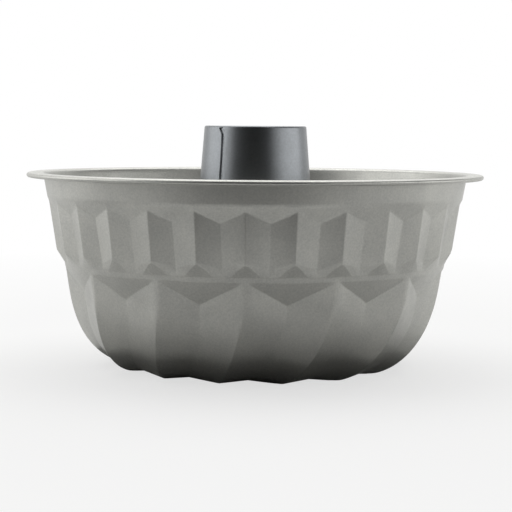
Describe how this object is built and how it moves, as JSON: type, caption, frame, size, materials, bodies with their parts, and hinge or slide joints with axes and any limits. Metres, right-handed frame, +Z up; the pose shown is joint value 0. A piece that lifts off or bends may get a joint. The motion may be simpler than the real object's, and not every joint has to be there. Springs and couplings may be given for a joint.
{
  "type": "kugelhopf mould",
  "caption": "Fluted ring cake mould in dark coated sheet steel, with a rolled rim and a tapered open chimney.",
  "frame": {"origin": "on the axis of the bowl and the chimney, in the plane that the mould stands on", "axes": "+Z up along the axis, out of the mouth; one ridge of the upper flutes points along -Y"},
  "size_m": [0.2368, 0.2368, 0.1255],
  "materials": {
    "coated_steel": "satin grey release coating with a fine metallic grain",
    "chimney_steel": "smooth semi-gloss dark grey release coating",
    "steel_wire": "drawn and plated"
  },
  "bodies": {
    "root": {"bowl": "coated_steel", "chimney": "chimney_steel", "rim_wire": "steel_wire"}
  },
  "joints": []
}
